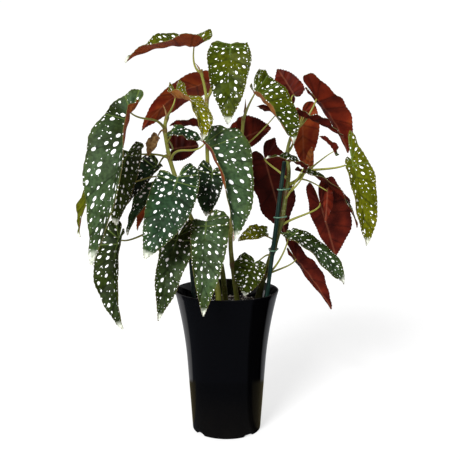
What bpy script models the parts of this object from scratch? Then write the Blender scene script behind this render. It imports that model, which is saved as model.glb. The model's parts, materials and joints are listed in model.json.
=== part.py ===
"""A spotted-leaf begonia in a tall black nursery pot, as separate solids.

The plant is four canes that stand in the soil, two of them beside green plant stakes. Every leaf is
one piece: its blade, and the petiole that carries it, fused together. A leaf is set out by where its
petiole meets the blade, where its tip hangs, and which way its upper side faces. Lengths are in
millimetres until a mesh is made. The origin is the middle of the pot's foot, on the ground, and the
plant is looked at along +Y.
"""

import math
from dataclasses import dataclass

import bmesh
import bpy
from mathutils import Matrix, Vector

MM = 0.001
CLEARANCE = 0.3
EDGE_ANGLE = math.radians(50)

# Pot
POT_HEIGHT = 180.0
POT_FOOT_RADIUS = 43.0
POT_TAPER = 0.0723
POT_FLARE = 9.0
POT_FLARE_START = 85.0
POT_WALL = 1.6
POT_FLOOR = 2.2
POT_SIDES = 32
FOOT_NOTCHES = 4
FOOT_NOTCH_TURN = math.radians(40)
FOOT_NOTCH_WIDTH = 15.0
FOOT_NOTCH_HEIGHT = 3.6
DRAIN_HOLE_RADIUS = 4.0
DRAIN_HOLE_RING = 24.0

# Soil
SOIL_TOP = 159.0
SOIL_MOUND = 4.0
SOIL_SIDES = 24

# Canes, petioles and stakes
STEM_SIDES = 8
PETIOLE_SIDES = 5
PETIOLE_STEPS = 5
PETIOLE_RADIUS = 1.7
PETIOLE_NECK_RADIUS = 0.9
NODE_SWELLING = 0.8
NODE_LENGTH = 4.0
ROOT_DEPTH = 45.0
STAKE_RADIUS = 2.7
TIE_RADIUS = 0.8
TIE_SIDES = 6

# Blades
BLADE_THICKNESS = 0.8
PALMATE_SHARE = 0.40
TOOTH = 0.012
WAVES_A_SIDE = 3.0
JAGS_A_SIDE = 4.2
# Margin of the larger half, from the sinus beside the petiole, round the basal lobe, to the tip.
# Across is in half widths, and along is in blade lengths from the petiole.
MARGIN = [
    (0.03, -0.08),
    (0.14, -0.18),
    (0.42, -0.22),
    (0.72, -0.16),
    (0.90, -0.02),
    (1.00, 0.18),
    (0.94, 0.42),
    (0.72, 0.66),
    (0.36, 0.86),
    (0.03, 1.00),
]


@dataclass
class Leaf:
    """One leaf. base and tip are points, face is the way the upper side looks at its middle."""

    name: str
    base: tuple
    tip: tuple
    face: tuple
    width: float
    stem: tuple
    arch: float = 40.0
    fold: float = 20.0
    big: int = 1
    sweep: float = 0.0
    twist: float = 0.0
    wave: float = 2.0
    lobe: float = 1.0
    lift: float = 0.0
    small: float = 0.72
    small_lobe: float = 0.5
    taper: float = 0.0
    hook: float = 0.0
    shoulder: float = 1.0
    jag: float = 0.0
    spread: float = 0.0
    grain: str = "large"
    skin: str = "mature"


# Rows and columns of the blade's grid, and the thickness of its petiole.
GRAINS = {"large": (11, 6, 1.0), "medium": (10, 6, 0.85), "small": (8, 4, 0.65)}

CANES = {
    "cane_left": {
        "path": [(-9, -20, 160), (-12, -19, 190), (-26, -15, 232), (-45, -10, 274), (-59, -5, 311),
                 (-69, 0, 341), (-75, 0, 377), (-72, 0, 394)],
        "radii": (3.9, 2.0),
        "nodes": (215, 262, 305, 344, 377, 392),
    },
    "cane_centre": {
        "path": [(-1, 4, 160), (-5, 3, 200), (-13, 2, 242), (-20, 0, 286), (-23, 0, 335),
                 (-24, 0, 377), (-24, 0, 414), (-31, 0, 450)],
        "radii": (3.6, 1.6),
        "nodes": (222, 270, 330, 380, 413, 448),
    },
    "cane_back": {
        "path": [(14, -8, 160), (9, -8, 200), (5, -4, 240), (9, 2, 292), (17, 5, 353), (21, 5, 394)],
        "radii": (3.4, 1.9),
        "nodes": (212, 262, 310, 356, 392),
    },
    "cane_right": {
        "path": [(38, 6, 160), (44, 4, 186), (53, 1, 213), (61, -2, 241), (69, -5, 273), (73, -2, 300),
                 (77, 6, 325), (75, 10, 350), (82, 10, 378)],
        "radii": (4.2, 1.9),
        "nodes": (199, 231, 270, 300, 345, 376),
    },
    "cane_branch": {
        "parent": ("cane_right", 311),
        "path": [(85, 9, 314), (90, 11, 318), (99, 12, 327), (106, 13, 331)],
        "radii": (2.4, 1.6),
        "nodes": (329,),
    },
}

STAKES = {
    "stake_left": ((-35, -32, 122), (-46, -20, 250)),
    "stake_right": ((42, -15, 110), (70, -13, 339)),
}

LEAVES = [
    Leaf("leaf_top_left", (-39, 0, 476), (-120, -15, 457), (0.0, -0.13, 1), 62, ("cane_centre", 447),
         arch=38, fold=25, big=1, small=1, lobe=1.45, lift=0.6, wave=3.5, grain="medium", skin="young"),
    Leaf("leaf_top_red", (-17, 28, 436), (-109, 55, 376), (-0.25, 0.72, 0.65), 46, ("cane_centre", 412),
         arch=68, fold=12, wave=1.5, small_lobe=1),
    Leaf("leaf_young_drape", (-60, -30, 415), (-27, -92, 367), (0.7, -0.55, 0.53), 36, ("cane_left", 392),
         arch=80, fold=22, big=-1, lobe=1.6, lift=1.2, grain="medium", skin="young", jag=0.06),
    Leaf("leaf_left_big", (-109, -60, 398), (-150, -105, 230), (-0.74, -0.67, 0.1), 74, ("cane_left", 380),
         arch=30, fold=47, sweep=-20, lobe=0.7, hook=-0.9, shoulder=0.42, wave=3, taper=0.05, jag=0.03,
         spread=0.95),
    Leaf("leaf_left_mid", (-117, -22, 352), (-131, -40, 266), (-0.4, -0.85, 0.2), 50, ("cane_left", 344),
         arch=30, fold=20, big=-1, lobe=0.6, grain="medium", small_lobe=0.1, jag=0.04),
    Leaf("leaf_left_low", (-128, -40, 249), (-121, -70, 147), (-0.5, -0.85, 0.2), 36, ("cane_left", 262),
         arch=35, fold=30, sweep=4, small=0.5),
    Leaf("leaf_inner_left_a", (-88, 24, 333), (-128, 10, 280), (-0.3, -0.8, 0.5), 36, ("cane_left", 346),
         arch=40, fold=25, small=0.6, lobe=0.5, grain="medium"),
    Leaf("leaf_inner_left_b", (-74, -32, 315), (-115, -62, 257), (-0.5, -0.6, 0.62), 25, ("cane_left", 308),
         arch=40, fold=30, grain="medium"),
    Leaf("leaf_inner_left_c", (-74, -20, 300), (-106, -36, 259), (-0.6, 0.4, 0.6), 34, ("cane_left", 300),
         arch=40, fold=30, grain="medium"),
    Leaf("leaf_centre_left", (-55, -75, 325), (-90, -110, 238), (-0.1, -0.95, 0.3), 54, ("cane_left", 305),
         arch=35, fold=10, big=-1, sweep=-4, small=0.85, small_lobe=0.0),
    Leaf("leaf_pot_left", (-57, -50, 254), (-78, -90, 162), (-0.15, -0.95, 0.3), 44, ("cane_left", 262),
         arch=40, fold=20, big=-1, twist=25, taper=0.35, jag=0.08),
    Leaf("leaf_front_centre", (-23, -70, 274), (-26, -100, 170), (-0.05, -0.9, 0.45), 48,
         ("cane_centre", 270),
         arch=55, fold=12, big=-1, small=0.6, lobe=0.6, small_lobe=0.1, taper=0.4),
    Leaf("leaf_front_big", (-25, -60, 363), (8, -114, 258), (0.75, -0.62, 0.3), 70, ("cane_left", 341),
         arch=40, fold=40, big=-1, wave=3, lobe=0.7, small=0.5, small_lobe=0.1, taper=0.3),
    Leaf("leaf_top_centre", (5, -30, 477), (2, -60, 385), (0.0, -0.95, 0.3), 54, ("cane_centre", 416),
         arch=40, fold=8, skin="young", small=0.9, small_lobe=1, lobe=0.08, taper=0.2, jag=0.03,
         shoulder=0.72),
    Leaf("leaf_right_young", (33, -40, 420), (76, -70, 363), (0.6, -0.5, 0.62), 56, ("cane_back", 392),
         arch=22, fold=35, big=-1, lobe=1.1, lift=0.8, skin="young", small_lobe=0.2),
    Leaf("leaf_back_small", (85, 38, 420), (64, 48, 453), (0.1, 0.9, 0.3), 38, ("cane_right", 376),
         arch=30, fold=15, grain="small"),
    Leaf("leaf_back_big", (111, 20, 415), (156, 55, 347), (0.55, 0.65, 0.5), 35, ("cane_right", 377),
         arch=35, fold=20, lobe=2.2, lift=0.2, wave=1.5, jag=0.03, small=0.35),
    Leaf("leaf_right_thin", (94, 2, 393), (145, 12, 367), (0.3, 0.2, 0.93), 20, ("cane_right", 376),
         arch=12, fold=30, grain="small"),
    Leaf("leaf_centre_thin", (61, 0, 397), (37, 8, 406), (0.1, 0.7, 0.7), 16, ("cane_back", 356),
         arch=10, fold=35, grain="small"),
    Leaf("leaf_mid_red", (95, 36, 397), (99, 45, 330), (0.1, 0.95, 0.1), 38, ("cane_right", 350),
         arch=15, fold=15, grain="medium", wave=3.5),
    Leaf("leaf_bud", (103, 18, 332), (106, 18, 356), (0.2, 0.9, 0.2), 14, ("cane_branch", 324),
         arch=10, fold=40, grain="small", skin="young"),
    Leaf("leaf_small_dark", (130, -10, 352), (112, -5, 370), (0.6, 0.3, 0.7), 20, ("cane_branch", 331),
         arch=30, fold=35, grain="small"),
    Leaf("leaf_right_big", (150, -20, 341), (166, -45, 242), (0.45, -0.85, 0.3), 38, ("cane_branch", 328),
         arch=45, fold=15, sweep=4, big=-1, small=0.6, lobe=2.0, small_lobe=0.1, lift=0.2, shoulder=0.7,
         skin="young"),
    Leaf("leaf_right_red", (117, 15, 286), (140, 35, 216), (0.1, 0.95, 0.2), 52, ("cane_right", 262),
         arch=30, fold=10, small=0.45, small_lobe=1, lobe=1.8, lift=0.4, jag=0.05),
    Leaf("leaf_small_hang", (124, -2, 303), (121, -10, 266), (0.3, 0.8, 0.3), 14, ("cane_branch", 318),
         arch=10, fold=38, lobe=0.8, grain="small"),
    Leaf("leaf_dark_arch", (95, -10, 326), (161, -4, 258), (0.55, -0.15, 0.8), 24, ("cane_right", 300),
         arch=52, fold=25, lobe=0.6, grain="medium"),
    Leaf("leaf_mid_small", (92, -30, 333), (46, -44, 345), (-0.1, -0.2, 0.97), 24, ("cane_right", 294),
         arch=35, fold=25, lobe=0.6, grain="small"),
    Leaf("leaf_back_dark", (48, 34, 341), (76, 45, 242), (0.0, 0.97, 0.2), 56, ("cane_right", 318),
         arch=30, fold=10, small=1, wave=4, jag=0.14),
    Leaf("leaf_back_centre", (17, 24, 365), (56, 35, 379), (0.1, 0.9, 0.4), 44, ("cane_back", 356),
         arch=30, fold=15, grain="medium"),
    Leaf("leaf_low_young", (46, -20, 254), (14, -35, 246), (0.0, -0.75, 0.65), 20, ("cane_right", 241),
         arch=50, fold=10, grain="small", skin="young"),
    Leaf("leaf_low_arch", (76, -20, 253), (140, -48, 196), (0.45, -0.55, 0.7), 25, ("cane_right", 199),
         arch=55, fold=12, wave=2, lobe=0.5, taper=-1.3, grain="medium"),
    Leaf("leaf_low_red", (87, 10, 216), (134, 20, 149), (0.45, 0.8, 0.4), 27, ("cane_right", 199),
         arch=20, fold=30, lobe=1.8, grain="medium", lift=0.3),
    Leaf("leaf_low_small", (34, -14, 215), (22, -40, 180), (0.0, -0.85, 0.5), 40, ("cane_right", 222),
         arch=30, fold=12, grain="small"),
    Leaf("leaf_inner_dark", (-17, -15, 327), (-24, -35, 276), (0.1, -0.9, 0.3), 36, ("cane_centre", 330),
         arch=40, fold=20, grain="small"),
    Leaf("leaf_far_left", (-156, -15, 313), (-176, -30, 250), (-0.8, -0.4, 0.1), 26, ("cane_left", 320),
         arch=45, fold=15, grain="small", skin="young", jag=0.12),
    Leaf("leaf_dry", (-85, -8, 368), (-95, -11, 346), (-0.3, -0.8, 0.2), 14, ("cane_left", 377),
         arch=20, fold=10, grain="small", skin="dry"),
    Leaf("leaf_dark_arc", (-33, 15, 381), (-71, 20, 382), (0.0, 0.4, 0.9), 28, ("cane_centre", 380),
         arch=20, fold=20, grain="small"),
    Leaf("leaf_green_strip", (-66, -12, 376), (-29, -20, 364), (0.1, -0.5, 0.85), 26, ("cane_left", 362),
         arch=40, fold=10, lobe=0.2, grain="small"),
    Leaf("leaf_mid_maroon", (-70, 49, 352), (-36, 53, 356), (0.1, 0.95, 0.2), 44, ("cane_left", 362),
         arch=30, fold=15, lobe=0.6, grain="medium"),
]

TIES = [
    ("tie_upper", "cane_right", "stake_right", 306),
    ("tie_middle", "cane_right", "stake_right", 272),
    ("tie_lower", "cane_right", "stake_right", 231),
]

PAINT = {
    "pot": ((0.012, 0.012, 0.013), 0.3),
    "soil": ((0.05, 0.035, 0.025), 0.95),
    "mature": ((0.04, 0.07, 0.035), 0.4),
    "young": ((0.11, 0.15, 0.015), 0.45),
    "dry": ((0.25, 0.14, 0.05), 0.9),
    "underside": ((0.14, 0.018, 0.014), 0.45),
    "stem": ((0.17, 0.26, 0.05), 0.5),
    "stake": ((0.01, 0.09, 0.06), 0.4),
    "tie": ((0.10, 0.30, 0.14), 0.5),
}


def clear_scene():
    for obj in list(bpy.data.objects):
        bpy.data.objects.remove(obj)


def material(name):
    """The named finish, made once."""
    found = bpy.data.materials.get(name)
    if found:
        return found
    made = bpy.data.materials.new(name)
    made.use_nodes = True
    shader = made.node_tree.nodes["Principled BSDF"]
    colour, roughness = PAINT[name]
    shader.inputs["Base Color"].default_value = (*colour, 1.0)
    shader.inputs["Roughness"].default_value = roughness
    return made


def shade_round_pieces():
    """Smooth shading, with the edges sharper than EDGE_ANGLE kept."""
    for obj in bpy.data.objects:
        obj.data.shade_smooth()
        obj.data.set_sharp_from_angle(angle=EDGE_ANGLE)


def finish_object(name, bm, *paints):
    """Turns a bmesh in millimetres into one named object in metres."""
    bmesh.ops.recalc_face_normals(bm, faces=bm.faces[:])
    mesh = bpy.data.meshes.new(name)
    bm.transform(Matrix.Scale(MM, 4))
    bm.to_mesh(mesh)
    bm.free()
    for paint in paints:
        mesh.materials.append(material(paint))
    obj = bpy.data.objects.new(name, mesh)
    bpy.context.scene.collection.objects.link(obj)
    return obj


def apply_boolean(obj, tool, operation, solver="EXACT"):
    """Joins tool to obj, or cuts it out, and removes tool."""
    modifier = obj.modifiers.new(operation.lower(), "BOOLEAN")
    modifier.operation = operation
    modifier.solver = solver
    modifier.object = tool
    bpy.context.view_layer.update()
    evaluated = obj.evaluated_get(bpy.context.evaluated_depsgraph_get())
    joined = bpy.data.meshes.new_from_object(evaluated)
    obj.modifiers.remove(modifier)
    obj.data = joined
    bpy.data.objects.remove(tool)
    return obj


def keep_largest(obj):
    """Drops the specks that a union can leave beside the main body."""
    bm = bmesh.new()
    bm.from_mesh(obj.data)
    bm.verts.ensure_lookup_table()
    unseen = set(bm.verts)
    groups = []
    while unseen:
        group = {unseen.pop()}
        frontier = list(group)
        while frontier:
            vert = frontier.pop()
            for edge in vert.link_edges:
                other = edge.other_vert(vert)
                if other in unseen:
                    unseen.remove(other)
                    group.add(other)
                    frontier.append(other)
        groups.append(group)
    groups.sort(key=len)
    for group in groups[:-1]:
        bmesh.ops.delete(bm, geom=list(group), context="VERTS")
    bm.to_mesh(obj.data)
    bm.free()


def smooth_path(points, steps):
    """Points along a Catmull-Rom curve through the given ones, steps to each span."""
    knots = [Vector(p) for p in points]
    knots = [knots[0] * 2 - knots[1], *knots, knots[-1] * 2 - knots[-2]]
    path = []
    for i in range(1, len(knots) - 2):
        before, start, end, after = knots[i - 1 : i + 3]
        for k in range(steps):
            t = k / steps
            path.append(
                0.5
                * (
                    2 * start
                    + (end - before) * t
                    + (2 * before - 5 * start + 4 * end - after) * t**2
                    + (3 * start - before - 3 * end + after) * t**3
                )
            )
    path.append(knots[-2])
    return path


def bezier(p0, p1, p2, p3, steps):
    path = []
    for k in range(steps + 1):
        t = k / steps
        path.append(p0 * (1 - t) ** 3 + p1 * 3 * t * (1 - t) ** 2 + p2 * 3 * t**2 * (1 - t) + p3 * t**3)
    return path


def tube(path, radii, sides, closed=False, first_direction=None):
    """A tube of round rings along path, with a radius at each point, capped unless it is closed."""
    bm = bmesh.new()
    count = len(path)
    rings = []
    across = None
    for i, point in enumerate(path):
        if closed:
            tangent = path[(i + 1) % count] - path[i - 1]
        else:
            tangent = path[min(i + 1, count - 1)] - path[max(i - 1, 0)]
        if i == 0 and first_direction is not None:
            tangent = first_direction
        tangent = tangent.normalized()
        if across is None:
            across = tangent.orthogonal()
        across = (across - tangent * across.dot(tangent)).normalized()
        other = tangent.cross(across)
        ring = []
        for k in range(sides):
            angle = 2 * math.pi * k / sides
            spoke = across * math.cos(angle) + other * math.sin(angle)
            ring.append(bm.verts.new(point + spoke * radii[i]))
        rings.append(ring)
    spans = range(count if closed else count - 1)
    for i in spans:
        near, far = rings[i], rings[(i + 1) % count]
        for k in range(sides):
            j = (k + 1) % sides
            bm.faces.new((near[k], near[j], far[j], far[k]))
    if not closed:
        bm.faces.new(rings[0][::-1])
        bm.faces.new(rings[-1])
    return bm


def lathe(profile, sides):
    """Turns a closed profile of (radius, height) points about Z. Points on the axis are merged."""
    bm = bmesh.new()
    verts = [bm.verts.new((radius, 0, height)) for radius, height in profile]
    edges = [bm.edges.new(pair) for pair in zip(verts, verts[1:])]
    bmesh.ops.spin(
        bm,
        geom=verts + edges,
        axis=(0, 0, 1),
        cent=(0, 0, 0),
        angle=2 * math.pi,
        steps=sides,
        use_merge=True,
    )
    bmesh.ops.remove_doubles(bm, verts=bm.verts[:], dist=0.01)
    return bm


def pot_radius(height):
    """Outer radius of the pot: a straight taper, flared out towards the rim."""
    flare = max(0.0, height - POT_FLARE_START) / (POT_HEIGHT - POT_FLARE_START)
    return POT_FOOT_RADIUS + POT_TAPER * height + POT_FLARE * flare**2


def make_pot():
    heights = [0, 3, 90, 115, 135, 155, 170, POT_HEIGHT - 1.0]
    outer = [(pot_radius(h), h) for h in heights]
    outer[0] = (pot_radius(0) - 1.2, 0)
    inner = [(pot_radius(h) - POT_WALL, h) for h in reversed(heights[2:])]
    rim = (pot_radius(POT_HEIGHT) - POT_WALL / 2, POT_HEIGHT)
    floor_edge = (pot_radius(POT_FLOOR) - POT_WALL, POT_FLOOR)
    profile = [(0, 0), *outer, rim, *inner, floor_edge, (0, POT_FLOOR)]
    pot = finish_object("pot", lathe(profile, POT_SIDES), "pot")
    for k in range(FOOT_NOTCHES):
        turn = FOOT_NOTCH_TURN + 2 * math.pi * k / FOOT_NOTCHES
        out = Vector((math.sin(turn), -math.cos(turn), 0))
        along = Vector((math.cos(turn), math.sin(turn), 0))
        up = Vector((0, 0, FOOT_NOTCH_HEIGHT))
        apply_boolean(pot, box_tool(out * POT_FOOT_RADIUS, out * 5, along * FOOT_NOTCH_WIDTH / 2, up),
                      "DIFFERENCE")
        apply_boolean(pot, drain_tool(along * DRAIN_HOLE_RING), "DIFFERENCE")
    return pot


def box_tool(centre, half_out, half_along, half_up):
    """A box for cutting, of the given half extents about centre."""
    bm = bmesh.new()
    bmesh.ops.create_cube(bm, size=2)
    for vert in bm.verts:
        x, y, z = vert.co
        vert.co = centre + half_out * x + half_along * y + half_up * z
    return finish_object("tool_notch", bm)


def drain_tool(centre):
    low = centre - Vector((0, 0, 2))
    high = centre + Vector((0, 0, POT_FLOOR + 2))
    return finish_object("tool_drain", tube([low, high], [DRAIN_HOLE_RADIUS] * 2, STEM_SIDES))


def make_soil(tools):
    """The soil fills the pot to below its rim, with a hole for each cane and stake."""
    low = POT_FLOOR + CLEARANCE
    heights = [low, 90, 120, 140, SOIL_TOP]
    gap = POT_WALL + 2 * CLEARANCE
    wall = [(pot_radius(h) - gap, h) for h in heights]
    profile = [(0, low), *wall, (30, SOIL_TOP + 0.7 * SOIL_MOUND), (0, SOIL_TOP + SOIL_MOUND)]
    soil = finish_object("soil", lathe(profile, SOIL_SIDES), "soil")
    for tool in tools:
        apply_boolean(soil, tool, "DIFFERENCE")
    return soil


def cane_line(name):
    """Centre points and radii of a cane, from its foot in the soil or on its parent to its top."""
    cane = CANES[name]
    points = [Vector(p) for p in cane["path"]]
    if "parent" in cane:
        points.insert(0, seat_on(*cane["parent"], points[0])[0])
        path = smooth_path(points, 3)
    else:
        path = smooth_path(points, 3)
        path.insert(0, points[0] - Vector((0, 0, ROOT_DEPTH)))
    low, high = cane["radii"]
    radii = []
    for i, point in enumerate(path):
        share = i / (len(path) - 1)
        nearest = min(abs(point.z - z) for z in cane["nodes"])
        swelling = NODE_SWELLING * max(0.0, 1 - nearest / (2 * NODE_LENGTH))
        radii.append(low + (high - low) * share + swelling)
    return path, radii


def cane_at(name, height):
    """Centre, radius and direction of a cane at a height."""
    path, radii = cane_line(name)
    for i in range(len(path) - 1):
        if path[i].z <= height <= path[i + 1].z:
            share = (height - path[i].z) / (path[i + 1].z - path[i].z)
            centre = path[i].lerp(path[i + 1], share)
            radius = radii[i] + (radii[i + 1] - radii[i]) * share
            return centre, radius, (path[i + 1] - path[i]).normalized()
    raise ValueError(f"{name} does not reach {height}")


def seat_on(cane, height, towards):
    """Where a growth on a cane starts, its way out from the cane, and the cane's direction there."""
    centre, radius, direction = cane_at(cane, height)
    lead = towards - centre
    lead = (lead - direction * lead.dot(direction)).normalized()
    return centre + lead * (radius + CLEARANCE), lead, direction


def make_canes():
    for name, cane in CANES.items():
        path, radii = cane_line(name)
        lead = seat_on(*cane["parent"], path[1])[1] if "parent" in cane else None
        finish_object(name, tube(path, radii, STEM_SIDES, first_direction=lead), "stem")


def stem_tools():
    """Cutters for the holes that the canes and stakes stand in."""
    tools = []
    for name, cane in CANES.items():
        if "parent" not in cane:
            path, radii = cane_line(name)
            buried = drop_start(path[:6])
            widths = [r + 2 * CLEARANCE for r in radii[:6]]
            tools.append(finish_object("tool_" + name, tube(buried, widths, STEM_SIDES)))
    for name, ends in STAKES.items():
        line = drop_start([Vector(p) for p in ends])
        widths = [STAKE_RADIUS + 2 * CLEARANCE] * 2
        tools.append(finish_object("tool_" + name, tube(line, widths, STEM_SIDES)))
    return tools


def drop_start(path):
    """The same path begun one clearance lower."""
    first, second = path[0], path[1]
    lowered = first + (first - second).normalized() * CLEARANCE
    return [lowered, *path[1:]]


def make_stakes():
    for name, ends in STAKES.items():
        low, high = (Vector(p) for p in ends)
        cap = high + (high - low).normalized() * 1.5
        radii = [STAKE_RADIUS, STAKE_RADIUS, STAKE_RADIUS * 0.5]
        finish_object(name, tube([low, high, cap], radii, STEM_SIDES), "stake")


def make_ties():
    """Each tie is a loop of coated wire round a stake and the cane beside it."""
    for name, cane, stake, height in TIES:
        centre, radius, _ = cane_at(cane, height)
        low, high = (Vector(p) for p in STAKES[stake])
        post = low.lerp(high, (height - low.z) / (high.z - low.z))
        reach = TIE_RADIUS + CLEARANCE
        heading = math.atan2(centre.y - post.y, centre.x - post.x)
        round_cane = (centre, radius + reach + 0.5, heading)
        round_stake = (post, STAKE_RADIUS + reach + 0.3, heading + math.pi)
        path = []
        for middle, ring, facing in (round_cane, round_stake):
            for k in range(6):
                angle = facing - math.pi / 2 + math.pi * k / 5
                across = Vector((math.cos(angle), math.sin(angle), 0))
                path.append(Vector((middle.x, middle.y, height)) + across * ring)
        finish_object(name, tube(path, [TIE_RADIUS] * len(path), TIE_SIDES, closed=True), "tie")


def margin_point(share):
    """Across and along of the margin of the larger half, at share 0 (sinus) to 1 (tip)."""
    spans = len(MARGIN) - 1
    place = min(share * spans, spans - 1e-6)
    i = int(place)
    t = place - i
    before, start, end, after = (Vector(MARGIN[min(max(k, 0), spans)]) for k in range(i - 1, i + 3))
    return 0.5 * (
        2 * start
        + (end - before) * t
        + (2 * before - 5 * start + 4 * end - after) * t**2
        + (3 * start - before - 3 * end + after) * t**3
    )


class BladeFrame:
    """Places flat leaf coordinates on the arched midrib of one leaf."""

    def __init__(self, leaf):
        self.base = Vector(leaf.base)
        self.chord = Vector(leaf.tip) - self.base
        self.reach = self.chord.length
        self.ahead = self.chord.normalized()
        face = Vector(leaf.face)
        self.up = (face - self.ahead * face.dot(self.ahead)).normalized()
        self.side = self.ahead.cross(self.up)
        self.arch = math.radians(leaf.arch)
        self.sweep = leaf.sweep
        self.lift = leaf.lift
        self.hook = leaf.hook
        self.length = self.reach * (self.arch / 2) / math.sin(self.arch / 2)
        self.twist = math.radians(leaf.twist)

    def at(self, along):
        """Midrib point, side and up directions at a share of the length."""
        turn = self.arch * (0.5 - along)
        half = math.sin(self.arch / 2)
        forward = self.reach * (half - math.sin(turn)) / (2 * half)
        rise = self.reach * (math.cos(turn) - math.cos(self.arch / 2)) / (2 * half)
        point = self.base + self.ahead * forward + self.up * rise
        point += self.side * self.sweep * 4 * along * (1 - along)
        point += (self.up * self.lift + self.side * self.hook) * self.length * max(0.0, -along)
        up = self.up * math.cos(turn) - self.ahead * math.sin(turn)
        roll = self.twist * along
        side = self.side * math.cos(roll) + up * math.sin(roll)
        up = up * math.cos(roll) - self.side * math.sin(roll)
        return point, side, up


def blade_point(leaf, frame, share, across_share):
    """The middle surface of the blade at a row (0 sinus, 1 tip) and a place across (-1 to 1)."""
    sign = 1 if across_share >= 0 else -1
    out = abs(across_share)
    edge_across, edge_along = margin_point(share)
    if sign != leaf.big:
        edge_across *= leaf.small
    if edge_along < 0:
        edge_along *= leaf.lobe * (1.0 if sign == leaf.big else leaf.small_lobe)
    edge_across *= 1 - leaf.taper * max(0.0, edge_along)
    edge_across *= 1 + leaf.jag * math.sin(2 * math.pi * (JAGS_A_SIDE * share + 0.1 * sign))
    edge_across *= leaf.shoulder + (1 - leaf.shoulder) * min(1.0, max(0.0, (edge_along + 0.2) / 0.45))
    palmate = max(0.0, share - PALMATE_SHARE) / (1 - PALMATE_SHARE)
    along = (1 - out) * palmate**1.6 + out * edge_along
    half_width = leaf.width / (1 + leaf.small)
    across = out * edge_across * half_width
    fold = math.radians(leaf.fold) * (1 - leaf.spread * max(0.0, along))
    ripple = math.sin(2 * math.pi * (WAVES_A_SIDE * share + 0.3 * sign))
    wave = leaf.wave * out**2 * ripple * min(1.0, edge_across + 0.2)
    point, side, up = frame.at(along)
    return point + side * sign * across * math.cos(fold) + up * (across * math.sin(fold) + wave)


def make_blade(leaf):
    """A grid fanned out from the petiole along the side veins, waved, and given its thickness."""
    rows, columns, _ = GRAINS[leaf.grain]
    frame = BladeFrame(leaf)
    bm = bmesh.new()
    bmesh.ops.create_grid(bm, x_segments=columns, y_segments=rows, size=1)
    for vert in bm.verts:
        share = (vert.co.y + 1) / 2
        row = round(share * rows)
        tooth = 1 + (TOOTH * frame.length / leaf.width) * (1 if row % 2 else -1) * abs(vert.co.x) ** 4
        vert.co = blade_point(leaf, frame, share, vert.co.x * (tooth if 0 < row < rows else 1))
    bmesh.ops.remove_doubles(bm, verts=bm.verts[:], dist=0.05)
    bmesh.ops.triangulate(bm, faces=bm.faces[:], quad_method="FIXED")
    bm.normal_update()
    upper_normal = frame.at(0.3)[2]
    if sum((f.normal * f.calc_area() for f in bm.faces), Vector()).dot(upper_normal) < 0:
        bmesh.ops.reverse_faces(bm, faces=bm.faces[:])
        bm.normal_update()
    normals = [v.normal.copy() for v in bm.verts]
    under = bm.verts[:]
    raised = bmesh.ops.extrude_face_region(bm, geom=bm.faces[:])["geom"]
    upper_faces = {g for g in raised if isinstance(g, bmesh.types.BMFace)}
    upper = [g for g in raised if isinstance(g, bmesh.types.BMVert)]
    for vert, normal in zip(under, normals):
        vert.co -= normal * BLADE_THICKNESS / 2
    for vert in upper:
        vert.co += vert.normal * BLADE_THICKNESS / 2
    under_set = set(under)
    for face in bm.faces:
        face.material_index = 1 if all(v in under_set for v in face.verts) else 0
    for face in upper_faces:
        face.material_index = 0
    return bm, frame


def make_petiole(leaf, frame):
    base, _, up = frame.at(0.0)
    start, lead, direction = seat_on(*leaf.stem, base)
    reach = (base - start).length
    away = (lead + direction * 0.9).normalized()
    path = bezier(start, start + away * 0.35 * reach, base - up * 0.3 * reach, base, PETIOLE_STEPS)
    stoutness = GRAINS[leaf.grain][2]
    radii = [
        stoutness * (PETIOLE_RADIUS + (PETIOLE_NECK_RADIUS - PETIOLE_RADIUS) * k / PETIOLE_STEPS)
        for k in range(PETIOLE_STEPS + 1)
    ]
    return tube(path, radii, PETIOLE_SIDES, first_direction=lead)


def make_leaves():
    for leaf in LEAVES:
        bm, frame = make_blade(leaf)
        blade = finish_object(leaf.name, bm, leaf.skin, "underside", "stem")
        petiole = make_petiole(leaf, frame)
        for face in petiole.faces:
            face.material_index = 2
        tool = finish_object("tool_petiole", petiole, leaf.skin, "underside", "stem")
        # EXACT gives back nothing for some of the thin blades.
        apply_boolean(blade, tool, "UNION", "MANIFOLD")
        keep_largest(blade)


clear_scene()
make_pot()
make_soil(stem_tools())
make_canes()
make_stakes()
make_ties()
make_leaves()
shade_round_pieces()
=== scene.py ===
"""The looks of a spotted-leaf begonia in its nursery pot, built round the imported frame.

Lengths are in millimetres until a mesh is finished, and so are those that its attributes hold.
Shader nodes and the camera's place are in metres. The plant is looked at along +Y.
"""

import json
import math
import random
from dataclasses import dataclass
from functools import partial

import bmesh
import bpy
from mathutils import Matrix, Vector, noise

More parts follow.
